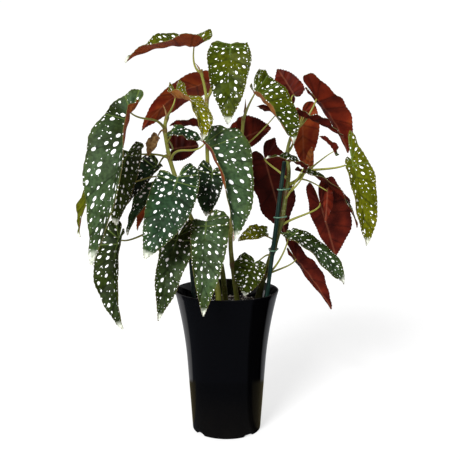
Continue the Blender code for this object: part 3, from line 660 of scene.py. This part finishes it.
LEAVES = [
    Leaf("leaf_top_left", (-39, 0, 476), (-120, -15, 457), (0, -0.13, 1), 62, ("cane_centre", 447),
         arch=38, fold=25, small=1, lobe=1.45, lift=0.6, wave=3.5, grain="medium", tone=0.75, blush=0.7),
    Leaf("leaf_top_red", (-17, 28, 436), (-109, 55, 376), (-0.25, 0.72, 0.65), 46, ("cane_centre", 412),
         arch=68, fold=12, wave=1.5, small_lobe=1, blush=0.58),
    Leaf("leaf_young_drape", (-60, -30, 415), (-27, -92, 367), (0.7, -0.55, 0.53), 36, ("cane_left", 392),
         arch=80, fold=22, big=-1, lobe=1.6, lift=1.2, grain="medium", tone=1, blush=0.95, pitch=6,
         jag=0.06),
    Leaf("leaf_left_big", (-109, -60, 398), (-150, -105, 230), (-0.74, -0.67, 0.1), 74,
         ("cane_left", 380), arch=30, fold=47, sweep=-20, lobe=0.7, hook=-0.9, shoulder=0.42, wave=3,
         taper=0.05, tone=0.32, blush=0.8, pitch=12.5, jag=0.03, spread=0.95),
    Leaf("leaf_left_mid", (-117, -22, 352), (-131, -40, 266), (-0.4, -0.85, 0.2), 50, ("cane_left", 344),
         arch=30, big=-1, lobe=0.6, grain="medium", tone=0.5, blush=0.7, small_lobe=0.1, jag=0.04),
    Leaf("leaf_left_low", (-128, -40, 249), (-121, -70, 147), (-0.5, -0.85, 0.2), 36, ("cane_left", 266),
         arch=35, fold=30, sweep=4, small=0.5, tone=0.39),
    Leaf("leaf_inner_left_a", (-88, 24, 333), (-128, 10, 280), (-0.3, -0.8, 0.5), 36, ("cane_left", 346),
         fold=25, small=0.6, lobe=0.5, grain="medium", tone=0, blush=0.3, pitch=8),
    Leaf("leaf_inner_left_b", (-74, -32, 315), (-115, -62, 257), (-0.5, -0.6, 0.62), 25,
         ("cane_left", 308), fold=30, grain="medium", tone=0.15, pitch=8),
    Leaf("leaf_inner_left_c", (-74, -20, 300), (-106, -36, 259), (-0.6, 0.4, 0.6), 34, ("cane_left", 300),
         fold=30, grain="medium", blush=0.7),
    Leaf("leaf_centre_left", (-55, -75, 325), (-90, -110, 238), (-0.1, -0.95, 0.3), 54,
         ("cane_left", 305), arch=35, fold=10, big=-1, sweep=-4, small=0.85, small_lobe=0.05, tone=0.13),
    Leaf("leaf_pot_left", (-57, -50, 254), (-78, -90, 162), (-0.15, -0.95, 0.3), 44, ("cane_left", 262),
         big=-1, twist=25, taper=0.35, tone=0.36, jag=0.08),
    Leaf("leaf_front_centre", (-23, -70, 274), (-26, -100, 170), (-0.05, -0.9, 0.45), 48,
         ("cane_centre", 270), arch=55, fold=12, big=-1, small=0.6, tone=0.31, blush=0.6, pitch=8.5,
         lobe=0.6, small_lobe=0.1, taper=0.4),
    Leaf("leaf_front_big", (-25, -60, 363), (8, -114, 258), (0.75, -0.62, 0.3), 70, ("cane_left", 341),
         fold=40, big=-1, wave=3, lobe=0.7, small=0.5, small_lobe=0.1, taper=0.3, tone=0.24, blush=0.72,
         pitch=11.5),
    Leaf("leaf_top_centre", (5, -30, 477), (2, -60, 385), (0, -0.95, 0.3), 54, ("cane_centre", 416),
         fold=8, small=0.9, small_lobe=1, lobe=0.08, tone=0.68, blush=0.8, pitch=8.5, taper=0.2, jag=0.03,
         shoulder=0.72),
    Leaf("leaf_right_young", (33, -40, 420), (76, -70, 363), (0.6, -0.5, 0.62), 56, ("cane_back", 392),
         arch=22, fold=35, big=-1, lobe=1.1, lift=0.8, tone=0.66, blush=0.9, pitch=8, small_lobe=0.2),
    Leaf("leaf_back_small", (85, 38, 420), (64, 48, 453), (0.1, 0.9, 0.3), 38, ("cane_right", 376),
         arch=30, fold=15, grain="small", tone=0.5, blush=0.33, pitch=8),
    Leaf("leaf_back_big", (111, 20, 415), (156, 55, 347), (0.55, 0.65, 0.5), 35, ("cane_right", 377),
         arch=35, lobe=2.2, lift=0.2, wave=1.5, blush=0.45, jag=0.03, small=0.35),
    Leaf("leaf_right_thin", (94, 2, 393), (145, 12, 367), (0.3, 0.2, 0.93), 20, ("cane_right", 376),
         arch=12, fold=30, grain="small", tone=0.3, blush=0.3, pitch=7),
    Leaf("leaf_centre_thin", (61, 0, 397), (37, 8, 406), (0.1, 0.7, 0.7), 16, ("cane_back", 356),
         arch=10, fold=35, grain="small", blush=0.3, pitch=6),
    Leaf("leaf_mid_red", (95, 36, 397), (99, 45, 330), (0.1, 0.95, 0.1), 38, ("cane_right", 350),
         arch=15, fold=15, grain="medium", blush=0.62, wave=3.5),
    Leaf("leaf_bud", (103, 18, 332), (106, 18, 356), (0.2, 0.9, 0.2), 14, ("cane_branch", 324),
         arch=10, fold=40, grain="small", tone=0.8, blush=0.8, pitch=6),
    Leaf("leaf_small_dark", (130, -10, 352), (112, -5, 370), (0.6, 0.3, 0.7), 20, ("cane_branch", 331),
         arch=30, fold=35, grain="small", blush=0.35, pitch=6),
    Leaf("leaf_right_big", (150, -20, 341), (166, -45, 242), (0.45, -0.85, 0.3), 38, ("cane_branch", 328),
         arch=45, fold=15, sweep=4, big=-1, small=0.6, lobe=2, small_lobe=0.1, lift=0.2, shoulder=0.7,
         tone=0.82, blush=0.5, pitch=9.5),
    Leaf("leaf_right_red", (117, 15, 286), (140, 35, 216), (0.1, 0.95, 0.2), 52, ("cane_right", 262),
         arch=30, fold=10, small=0.45, small_lobe=1, lobe=1.8, lift=0.4, blush=0.3, jag=0.05),
    Leaf("leaf_small_hang", (124, -2, 303), (121, -10, 266), (0.3, 0.8, 0.3), 14, ("cane_branch", 318),
         arch=10, fold=38, lobe=0.8, grain="small", tone=0.6, blush=0.45, pitch=6),
    Leaf("leaf_dark_arch", (95, -10, 326), (161, -4, 258), (0.55, -0.15, 0.8), 24, ("cane_right", 300),
         arch=52, fold=25, lobe=0.6, grain="medium", tone=0.4, blush=0.3, pitch=6.5),
    Leaf("leaf_mid_small", (92, -30, 333), (46, -44, 345), (-0.1, -0.2, 0.97), 24, ("cane_right", 294),
         arch=35, fold=25, lobe=0.6, grain="small", tone=0.42, blush=0.35, pitch=6),
    Leaf("leaf_back_dark", (48, 34, 341), (76, 45, 242), (0, 0.97, 0.2), 56, ("cane_right", 318),
         arch=30, fold=10, small=1, wave=4, blush=0.2, jag=0.14),
    Leaf("leaf_back_centre", (17, 24, 365), (56, 35, 379), (0.1, 0.9, 0.4), 44, ("cane_back", 356),
         arch=30, fold=15, grain="medium", blush=0.36),
    Leaf("leaf_low_young", (46, -20, 254), (14, -35, 246), (0, -0.75, 0.65), 20, ("cane_right", 241),
         arch=50, fold=10, grain="small", tone=0.85, blush=0.9, pitch=6.5),
    Leaf("leaf_low_arch", (76, -20, 253), (140, -48, 196), (0.45, -0.55, 0.7), 25, ("cane_right", 199),
         arch=55, fold=12, lobe=0.5, taper=-1.3, grain="medium", tone=0.36, pitch=8),
    Leaf("leaf_low_red", (87, 10, 216), (134, 20, 149), (0.45, 0.8, 0.4), 27, ("cane_right", 199),
         arch=20, fold=30, lobe=1.8, grain="medium", blush=0.31, lift=0.3),
    Leaf("leaf_low_small", (34, -14, 215), (22, -40, 180), (0, -0.85, 0.5), 40, ("cane_right", 222),
         arch=30, fold=12, grain="small", tone=0.53, pitch=7),
    Leaf("leaf_inner_dark", (-17, -15, 327), (-24, -35, 276), (0.1, -0.9, 0.3), 36, ("cane_centre", 330),
         grain="small", tone=0.08, pitch=8),
    Leaf("leaf_far_left", (-156, -15, 313), (-176, -30, 250), (-0.8, -0.4, 0.1), 26, ("cane_left", 320),
         arch=45, fold=15, grain="small", tone=0.8, blush=0.9, pitch=40, jag=0.12),
    Leaf("leaf_dry", (-85, -8, 368), (-95, -11, 346), (-0.3, -0.8, 0.2), 14, ("cane_left", 377),
         arch=20, fold=10, grain="small"),
    Leaf("leaf_dark_arc", (-33, 15, 381), (-71, 20, 382), (0, 0.4, 0.9), 28, ("cane_centre", 380),
         arch=20, grain="small", blush=0.3),
    Leaf("leaf_green_strip", (-66, -12, 376), (-29, -20, 364), (0.1, -0.5, 0.85), 26, ("cane_left", 362),
         fold=10, lobe=0.2, grain="small", tone=0.15),
    Leaf("leaf_mid_maroon", (-70, 49, 352), (-36, 53, 356), (0.1, 0.95, 0.2), 44, ("cane_left", 362),
         arch=30, fold=15, lobe=0.6, grain="medium", blush=0.22),
]


def margin_point(share):
    """Across and along of the margin of the larger half, at share 0 (notch) to 1 (tip)."""
    spans = len(MARGIN) - 1
    place = min(share * spans, spans - 1e-6)
    i = int(place)
    return between(*(Vector(MARGIN[min(max(k, 0), spans)]) for k in range(i - 1, i + 3)), place - i)


class Blade:
    """Places flat leaf coordinates on the arched, folded and waved sheet of one leaf."""

    def __init__(self, leaf):
        self.leaf = leaf
        self.base = Vector(leaf.base)
        chord = Vector(leaf.tip) - self.base
        self.reach = chord.length
        self.ahead = chord.normalized()
        face = Vector(leaf.face)
        self.up = (face - self.ahead * face.dot(self.ahead)).normalized()
        self.side = self.ahead.cross(self.up)
        self.arch = math.radians(leaf.arch)
        self.twist = math.radians(leaf.twist)
        self.length = self.reach * (self.arch / 2) / math.sin(self.arch / 2)
        self.half_width = leaf.width / (1 + leaf.small)

    def midrib(self, along):
        """Midrib point, side and up directions at a share of the length."""
        turn = self.arch * (0.5 - along)
        half = math.sin(self.arch / 2)
        forward = self.reach * (half - math.sin(turn)) / (2 * half)
        rise = self.reach * (math.cos(turn) - math.cos(self.arch / 2)) / (2 * half)
        point = self.base + self.ahead * forward + self.up * rise
        point += self.side * self.leaf.sweep * 4 * along * (1 - along)
        point += (self.up * self.leaf.lift + self.side * self.leaf.hook) * self.length * max(0.0, -along)
        up = self.up * math.cos(turn) - self.ahead * math.sin(turn)
        roll = self.twist * along
        side = self.side * math.cos(roll) + up * math.sin(roll)
        return point, side, up * math.cos(roll) - self.side * math.sin(roll)

    def flat(self, share, sign, out):
        """Across and along, in mm, of a place on the row that ends on the margin at share."""
        leaf = self.leaf
        across, along = margin_point(share)
        if sign != leaf.big:
            across *= leaf.small
        if along < 0:
            along *= leaf.lobe * (1.0 if sign == leaf.big else leaf.small_lobe)
        across *= 1 - leaf.taper * max(0.0, along)
        across *= 1 + leaf.jag * math.sin(2 * math.pi * (JAGS_A_SIDE * share + 0.1 * sign))
        across *= leaf.shoulder + (1 - leaf.shoulder) * min(1.0, max(0.0, (along + 0.2) / 0.45))
        start = (max(0.0, share - PALMATE_SHARE) / (1 - PALMATE_SHARE)) ** 1.6
        return Vector((out * across * self.half_width, ((1 - out) * start + out * along) * self.length))

    def place(self, share, sign, out, spacing):
        """The middle of the sheet there, with its waves, frilled margin and quilting between veins."""
        x, y = self.flat(share, sign, out)
        edge = self.flat(share, sign, 1.0).x / self.half_width
        ripple = math.sin(2 * math.pi * (WAVES_A_SIDE * share + 0.3 * sign))
        wave = self.leaf.wave * out**2 * ripple * min(1.0, edge + 0.2)
        frill = math.sin(2 * math.pi * (FRILLS_A_SIDE * share + 0.17 * sign)) * out**4 * min(1.0, 2 * edge)
        quilt = min(QUILT_LIMIT, QUILT_SHARE * spacing) * math.sin(math.pi * VEINS * share) ** 2
        rise = math.hypot(x, MIDRIB_GROOVE) - MIDRIB_GROOVE
        fold = math.radians(self.leaf.fold) * (1 - self.leaf.spread * max(0.0, y / self.length))
        point, side, up = self.midrib(y / self.length)
        point += side * sign * x * math.cos(fold)
        return point + up * (rise * math.sin(fold) + wave + FRILL_HEIGHT * frill + quilt)


def make_blade(bm, leaf):
    """Fans a grid out from the stalk along the veins, tags it for its skins, and thickens it."""
    rows_a_vein, columns, _ = GRAINS[leaf.grain]
    rows = VEINS * rows_a_vein
    blade = Blade(leaf)
    layers = {key: bm.verts.layers.float_vector.new(key) for key in ("pattern", "flow", "reach", "age")}
    sheet = bmesh.ops.create_grid(bm, x_segments=2 * columns, y_segments=rows, size=1)["verts"]
    draw = random.Random(leaf.name)
    shift = Vector((draw.uniform(0, 50), draw.uniform(0, 50)))
    hub = []
    for vert in sheet:
        share = (vert.co.y + 1) / 2
        sign = 1 if vert.co.x >= 0 else -1
        out = abs(vert.co.x)
        row = round(share * rows)
        step = 0.5 / rows
        here = blade.flat(share, sign, out)
        rim = blade.flat(share, sign, 1.0)
        ray = rim - blade.flat(share, sign, 0.0)
        length = max(ray.length, 0.01)
        flow = ray / length
        near, far = (blade.flat(min(max(share + d, 0), 1), sign, out) for d in (-step, step))
        fan = abs((far - near).cross(flow)) * rows
        near, far = (blade.flat(min(max(share + d, 0), 1), sign, 1.0) for d in (-step, step))
        skew = abs((far - near).normalized().cross(flow))
        phase = share * VEINS
        to_vein = abs(phase - round(phase)) / VEINS * fan
        tooth = (TOOTH_OUT if row % 2 else TOOTH_IN) * min(1.0, leaf.width / 40)
        if out < 0.01 and share <= PALMATE_SHARE:
            hub.append(vert)
        if out > 0.99 and 0 < row < rows:
            out += tooth * (0.4 + 0.6 * share) / max(length, 4)
        vert.co = blade.place(share, sign, out, fan / VEINS)
        vert[layers["pattern"]] = (sign * here.x / leaf.pitch + shift.x, here.y / leaf.pitch + shift.y, 0)
        drawn_out = (flow + here.normalized()).normalized()
        vert[layers["flow"]] = (sign * drawn_out.x, drawn_out.y, 0)
        vert[layers["reach"]] = ((1 - abs(min(out, 1))) * length * skew, to_vein, abs(here.x))
        vert[layers["age"]] = (leaf.tone, leaf.blush, here.y / blade.length)
    bmesh.ops.remove_doubles(bm, verts=hub, dist=0.05)
    bm.normal_update()
    facing = sum((face.normal * face.calc_area() for face in bm.faces), Vector())
    if facing.dot(blade.midrib(0.3)[2]) < 0:
        bmesh.ops.reverse_faces(bm, faces=bm.faces[:])
        bm.normal_update()
    under = {vert: vert.normal.copy() for vert in bm.verts}
    raised = bmesh.ops.extrude_face_region(bm, geom=bm.faces[:])["geom"]
    upper = [part for part in raised if isinstance(part, bmesh.types.BMVert)]
    for vert in upper:
        vert.co += vert.normal * BLADE_THICKNESS / 2
    for vert, normal in under.items():
        vert.co -= normal * BLADE_THICKNESS / 2
    for face in bm.faces:
        face.material_index = 1 if all(vert in under for vert in face.verts) else 0
    return blade


def make_stalk(bm, leaf, blade):
    """The stalk springs from its cane, bows up, and comes into the blade from below."""
    stem_layer = bm.verts.layers.float_vector.new("stem")
    base, _, up = blade.midrib(0.0)
    start, lead, direction = seat_on(*leaf.stem, base)
    reach = (base - start).length
    away = (lead + direction * 0.9).normalized()
    knots = (start, start + away * 0.35 * reach, base - up * 0.3 * reach, base)
    stoutness = GRAINS[leaf.grain][2]
    path, radii = [], []
    for k in range(STALK_STEPS + 1):
        t = k / STALK_STEPS
        weights = ((1 - t) ** 3, 3 * t * (1 - t) ** 2, 3 * t**2 * (1 - t), t**3)
        path.append(sum((knot * weight for knot, weight in zip(knots, weights)), Vector()))
        heel = HEEL_WIDTH * math.exp(-t * reach / HEEL_LENGTH)
        radii.append(stoutness * (STALK_RADIUS + (STALK_NECK_RADIUS - STALK_RADIUS) * t + heel))
    already = set(bm.faces)

    def mark_stalk(i, verts):
        for vert in verts:
            youth_and_shade = STALK_YOUTH + 0.35 * leaf.tone * i / STALK_STEPS
            vert[stem_layer] = (youth_and_shade, 3.5 + i * 2, STALK_FLUSH)

    tube(bm, path, radii, STALK_SIDES, first_direction=lead, mark=mark_stalk)
    for face in bm.faces:
        if face not in already:
            face.material_index = 2


def spots(add, pattern, flow, cell, long, wide, empty, start=0.0):
    """A mask of oval spots, one to a cell and drawn out along the veins. Some cells stay empty."""
    scaled = add("VectorMath", {0: pattern, "Scale": 1 / cell}, operation="SCALE")
    scaled = add("VectorMath", [scaled, (start, start, 0)], operation="ADD")
    cells = add("TexVoronoi", {"Vector": scaled, "Scale": 1.0, "Randomness": 0.45}, voronoi_dimensions="2D")
    chance = add("SeparateColor", [cells.outputs["Color"]])
    offset = add("VectorMath", [scaled, cells.outputs["Position"]], operation="SUBTRACT")
    along = add("VectorMath", [offset, flow], operation="DOT_PRODUCT")
    whole = add("VectorMath", [offset, offset], operation="DOT_PRODUCT")
    lengthwise = add("Math", [along, along], operation="MULTIPLY")
    rounded = add("Math", [whole, 1 / wide**2], operation="MULTIPLY")
    oval = add("Math", [lengthwise, 1 / long**2 - 1 / wide**2, rounded], operation="MULTIPLY_ADD")
    squared = add("Math", [chance.outputs[0], chance.outputs[0]], operation="MULTIPLY")
    size = add("MapRange", [squared, 0.0, 1.0, 0.2, 1.6])
    ratio = add("Math", [oval, size], operation="DIVIDE")
    inside = add("MapRange", [ratio, 1.15, 0.85, 0.0, 1.0])
    present = add("Math", [chance.outputs[1], empty], operation="GREATER_THAN")
    return add("Math", [inside, present], operation="MULTIPLY")


LEAF_SKIN = {"IOR": 1.42, "Specular IOR Level": 0.08}

# Upper skin: waxy, green with a bluish-grey bloom when old, partly painted sheen, and yellow green when
# young. The spots are white air gaps under the skin. The veins are sunk and darkened with painted shade,
# but pale by the stalk. The tip is silvery.
upper_skin, add, place = new_finish("waxy_spotted_leaf_skin")
flow = add("Attribute", attribute_name="flow").outputs["Vector"]
to_margin, to_vein, to_midrib = held(add, "reach")
tone, _, along = held(add, "age")
flat = add("Attribute", attribute_name="pattern").outputs["Vector"]
ragged = add("TexNoise", {"Vector": flat, "Scale": 2.6, "Detail": 1.0}, noise_dimensions="2D")
centred = add("VectorMath", [ragged.outputs["Color"], (0.5, 0.5, 0.5)], operation="SUBTRACT")
nudge = add("VectorMath", [centred, (0.07, 0.07, 0)], operation="MULTIPLY")
pattern = add("VectorMath", [flat, nudge], operation="ADD")
large = spots(add, pattern, flow, cell=1.0, long=0.245, wide=0.14, empty=0.08)
small = spots(add, pattern, flow, cell=0.5, long=0.13, wide=0.1, empty=0.7, start=0.5)
beads = spots(add, pattern, flow, cell=0.38, long=0.17, wide=0.17, empty=0.35)
off_margin = add("MapRange", [to_margin, 2.5, 3.5])
off_midrib = add("MapRange", [to_midrib, 0.8, 1.8])
clear = add("Math", [off_margin, off_midrib], operation="MULTIPLY")
inner = add("Math", [large, small], operation="MAXIMUM")
inner = add("Math", [inner, clear], operation="MULTIPLY")
near_margin = add("MapRange", [to_margin, 3.6, 2.8])
outer = add("Math", [beads, near_margin], operation="MULTIPLY")
spotted = add("Math", [inner, outer], operation="MAXIMUM")
cloud = add("TexNoise", {"Vector": place, "Scale": 28.0, "Detail": 3.0})
shifted = add("Math", [cloud, 0.4, tone], operation="MULTIPLY_ADD")
aged = add("Math", [shifted, 0.2], operation="SUBTRACT")
# Painted sheen: the bluish-grey stops at 0.15 and 0.27 bake a grey shine into the old leaves' dark green.
green = add("ValToRGB", [aged],
            stops=[(0.0, "#0f140a"), (0.15, "#243c26"), (0.27, "#3a4d30"), (0.4, "#1c2608"),
                   (0.52, "#2a370a"), (0.65, "#343e04"), (0.82, "#4e5204"), (1.0, "#6a6a08")])
warmth = add("MapRange", [to_margin, 0.0, 9.0, 0.6, 0.0])
warmed = add("Mix", {0: warmth, 6: green, 7: linear("#fff07a")}, data_type="RGBA", blend_type="MULTIPLY")
mottle = add("TexNoise", {"Vector": place, "Scale": 240.0, "Detail": 3.0})
shading = add("MapRange", [mottle, 0.3, 0.7, 0.6, 1.45])
mottled = add("HueSaturation", {"Value": shading, "Color": warmed})
# Painted shade: the sunk veins are darkened as if they lay in shadow.
painted_crease_shade = add("MapRange", [to_vein, 0.2, 1.6, 0.5, 0.0])
crease_shaded = add("Mix", {0: painted_crease_shade, 6: mottled, 7: linear("#0b1108")}, data_type="RGBA")
near_stalk = add("MapRange", [along, 0.03, 0.26, 0.34, 0.0])
vein_line = add("MapRange", [to_vein, 0.25, 1.1, 1.0, 0.0])
rib_line = add("MapRange", [to_midrib, 0.3, 1.5, 1.0, 0.0])
lines = add("Math", [vein_line, rib_line], operation="MAXIMUM")
pale = add("Math", [lines, near_stalk], operation="MULTIPLY")
veins_and_shade = add("Mix", {0: pale, 6: crease_shaded, 7: linear("#86a04c")}, data_type="RGBA")
tip_share = add("MapRange", [along, 0.9, 0.95, 0.0, 1.5])
silver = add("Math", [tip_share, ragged], operation="MULTIPLY", use_clamp=True)
tipped = add("Mix", {0: silver, 6: veins_and_shade, 7: linear("#e8ecdc")}, data_type="RGBA")
rim_line = add("MapRange", [to_margin, 0.1, 0.6, 0.5, 0.0])
rimmed = add("Mix", {0: rim_line, 6: tipped, 7: linear("#7a6a44")}, data_type="RGBA")
painted = add("Mix", {0: spotted, 6: rimmed, 7: linear("#ffffff")}, data_type="RGBA")
waxy = add("MapRange", [cloud, 0.0, 1.0, 0.38, 0.55])
groove = add("MapRange", [to_vein, 0.0, 1.8])
rib_groove = add("MapRange", [to_midrib, 0.0, 1.6])
sunk = add("Math", [groove, rib_groove], operation="ADD")
pebbles = add("TexVoronoi", {"Vector": place, "Scale": 700.0})
relief = add("Math", [pebbles.outputs["Distance"], 0.25, sunk], operation="MULTIPLY_ADD")
relief = add("Math", [spotted, 0.3, relief], operation="MULTIPLY_ADD")
skin_bump = add("Bump", {"Strength": 0.45, "Distance": 0.0006, "Height": relief})
shade(upper_skin, painted, waxy, skin_bump, LEAF_SKIN)

# Under skin: smooth and wine red, with a satin shine, raised veins darkened with painted shade along
# them, a paler midrib and a fine net between them.
under_skin, add, place = new_finish("wine_red_leaf_underside")
_, to_vein, to_midrib = held(add, "reach")
_, blush, _ = held(add, "age")
cloud = add("TexNoise", {"Vector": place, "Scale": 55.0, "Detail": 4.0})
shifted = add("Math", [cloud, 0.7, blush], operation="MULTIPLY_ADD")
aged = add("Math", [shifted, 0.33], operation="SUBTRACT")
red = add("ValToRGB", [aged],
          stops=[(0.0, "#180705"), (0.3, "#43110a"), (0.55, "#6c2210"), (0.8, "#90421a"),
                 (1.0, "#b4763a")])
# Painted shade: a dark line along each vein, for the shade between the quilted panels.
painted_crease_shade = add("MapRange", [to_vein, 0.3, 2.0, 0.38, 0.0])
veins_and_shade = add("Mix", {0: painted_crease_shade, 6: red, 7: linear("#1a0504")}, data_type="RGBA")
rib_line = add("MapRange", [to_midrib, 0.6, 1.5, 0.14, 0.0])
ribbed = add("Mix", {0: rib_line, 6: veins_and_shade, 7: linear("#c07a5a")}, data_type="RGBA")
net = add("TexVoronoi", {"Vector": place, "Scale": 300.0}, feature="DISTANCE_TO_EDGE")
meshes = add("MapRange", [net, 0.02, 0.12, 0.1, 0.0])
netted = add("Mix", {0: meshes, 6: ribbed, 7: linear("#2c0d0c")}, data_type="RGBA")
satin = add("MapRange", [cloud, 0.0, 1.0, 0.42, 0.6])
ridge = add("MapRange", [to_vein, 0.0, 1.6, 1.0, 0.0])
rib_ridge = add("MapRange", [to_midrib, 0.0, 1.8, 1.4, 0.0])
raised = add("Math", [ridge, rib_ridge], operation="MAXIMUM")
raised = add("Math", [net, 0.3, raised], operation="MULTIPLY_ADD")
under_bump = add("Bump", {"Strength": 0.35, "Distance": 0.0006, "Height": raised})
shade(under_skin, netted, satin, under_bump, LEAF_SKIN)

# A withered leaf: dry, dull and brown all through, with darker creases.
withered = grained("withered_leaf", {"Scale": 220.0, "Detail": 6.0},
                   [(0.3, "#4a2f18"), (0.5, "#8a6738"), (0.7, "#b8955c")],
                   roughness=(0.8, 1.0), relief=(0.8, 0.001))

for leaf in LEAVES:
    bm = bmesh.new()
    blade = make_blade(bm, leaf)
    make_stalk(bm, leaf, blade)
    dry = leaf.name == "leaf_dry"
    finishes = [withered, withered, withered] if dry else [upper_skin, under_skin, stem_skin]
    slot = "leaf_dry" if dry else "leaf_young" if leaf.tone > 0.62 else "leaf_mature"
    fit(new_object("spotted_" + leaf.name, bm), finishes, slot, leaf.name)


# The studio: a pale plain floor that fades to a white backdrop, which lights the plant softly from
# all round, and one soft sun from the left and front.
FLOOR_SIZE = 30.0
CAMERA_PLACE = (0.0043, -1.0, 0.3964)
CAMERA_PITCH = 0.141
CAMERA_LENS = 63.8
SUN_FROM = (-0.4, -0.92, 0.58)
SUN_ANGLE = math.radians(20)
SUN_STRENGTH = 3.4

bm = bmesh.new()
bmesh.ops.create_grid(bm, x_segments=1, y_segments=1, size=FLOOR_SIZE / 2 / MM)
floor = new_object("studio_floor", bm)
# White paper, overexposed in the camera's view. To glossy rays it glows instead with a painted
# reflection, seen in the pot's gloss, of a room round the plant: a dim front, a dark right, and a pale
# room behind, with a brown table close to the pot.
paper, add, place = new_finish("white_paper")
rays = add("LightPath")
floor_x, floor_y, _ = add("SeparateXYZ", [place]).outputs
heading = add("Math", [floor_y, floor_x], operation="ARCTAN2")
turn = add("MapRange", [heading, -math.pi, math.pi])
# far and near are the painted reflection's colours by heading, beyond and within 0.2 m of the pot.
far = add("ValToRGB", [turn],
          stops=[(0.0, "#42454d"), (0.405, "#42454d"), (0.425, "#000000"), (0.56, "#000000"),
                 (0.58, "#8c8e92"), (0.925, "#b4b4b6"), (0.94, "#42454d"), (1.0, "#42454d")])
near = add("ValToRGB", [turn],
           stops=[(0.0, "#3a3c40"), (0.405, "#3a3c40"), (0.425, "#000000"), (0.45, "#000000"),
                  (0.47, "#4a4433"), (0.6, "#655d45"), (0.965, "#655d45"), (0.985, "#3a3c40")])
away = add("VectorMath", [place], operation="LENGTH")
beyond = add("MapRange", [away, 0.185, 0.2])
painted_reflection_colour = add("Mix", {0: beyond, 6: near, 7: far}, data_type="RGBA")
painted_reflection = add("Emission", {"Color": painted_reflection_colour, "Strength": 1.0})
lit = add("BsdfDiffuse", {"Color": linear("#f2f2f2")})
glow = add("Emission", {"Color": linear("#ffffff"), "Strength": 1.25})
bright = add("MixShader", [0.5, lit, glow])
seen = add("MixShader", [rays.outputs["Is Camera Ray"], lit, bright])
# Glossy rays see the painted reflection in place of the lit paper.
surface = add("MixShader", [rays.outputs["Is Glossy Ray"], seen, painted_reflection])
connect(paper.node_tree.nodes["Material Output"], {"Surface": surface})
floor.data.materials.append(paper)

world = bpy.data.worlds.new("white_backdrop")
bpy.context.scene.world = world
world.use_nodes = True
add = partial(node, world.node_tree)
rays = add("LightPath")
level = add("MapRange", [rays.outputs["Is Camera Ray"], 0.0, 1.0, 0.52, 1.05])
dimmed = add("MapRange", [rays.outputs["Is Glossy Ray"], 0.0, 1.0, 1.0, 0.5])
strength = add("Math", [level, dimmed], operation="MULTIPLY")
connect(world.node_tree.nodes["Background"], {"Color": (1, 1, 1, 1), "Strength": strength})

sun = bpy.data.objects.new("key", bpy.data.lights.new("key", "SUN"))
sun.data.energy = SUN_STRENGTH
sun.data.angle = SUN_ANGLE
sun.rotation_euler = Vector(SUN_FROM).to_track_quat("Z", "Y").to_euler()
bpy.context.scene.collection.objects.link(sun)

camera = bpy.data.objects.new("camera", bpy.data.cameras.new("camera"))
camera.data.lens = CAMERA_LENS
camera.location = CAMERA_PLACE
camera.rotation_euler = (math.pi / 2 - CAMERA_PITCH, 0, 0)
bpy.context.scene.collection.objects.link(camera)
bpy.context.scene.camera = camera
bpy.context.scene.view_settings.view_transform = "Standard"
